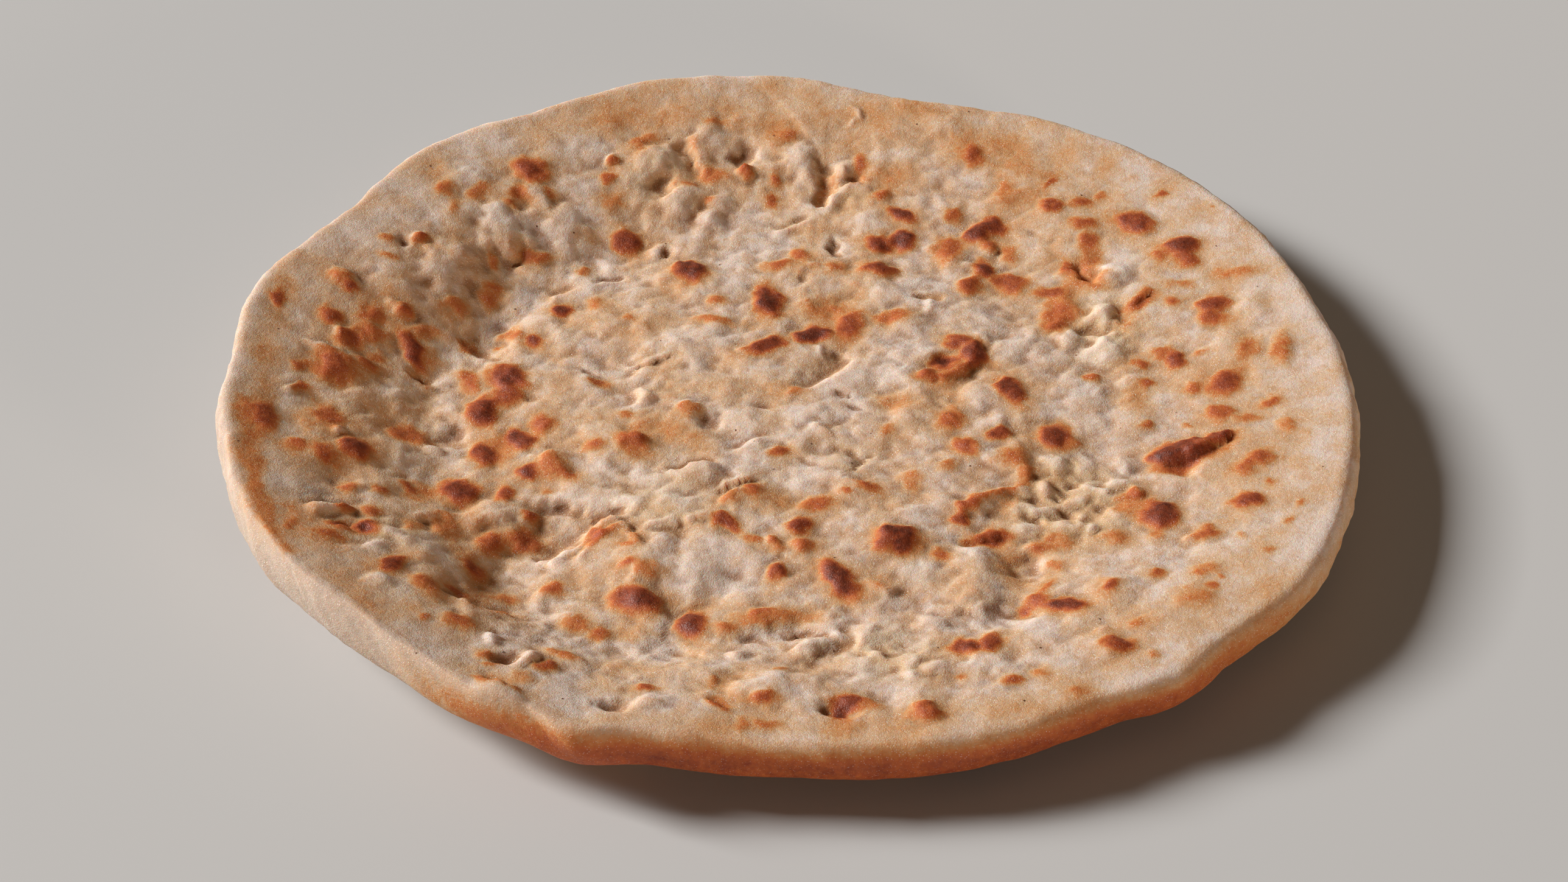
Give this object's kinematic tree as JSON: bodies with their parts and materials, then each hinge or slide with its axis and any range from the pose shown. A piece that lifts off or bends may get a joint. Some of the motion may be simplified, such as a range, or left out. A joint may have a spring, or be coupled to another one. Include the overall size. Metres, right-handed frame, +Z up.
{
  "type": "potato paratha",
  "caption": "Round griddled flatbread with a potato filling, shallowly dished, with a plump uneven rim, browned blisters and pale lumps, lying on its flat middle.",
  "frame": {"origin": "on the table under the middle of the bread's outline", "axes": "+Z up out of the dished face, +X and +Y in the table's plane, with the highest rim towards -X"},
  "size_m": [0.1888, 0.1823, 0.0185],
  "materials": {
    "crust": "dry matte griddled wholemeal dough with brown blisters"
  },
  "bodies": {
    "root": {"paratha": "crust"}
  },
  "joints": []
}
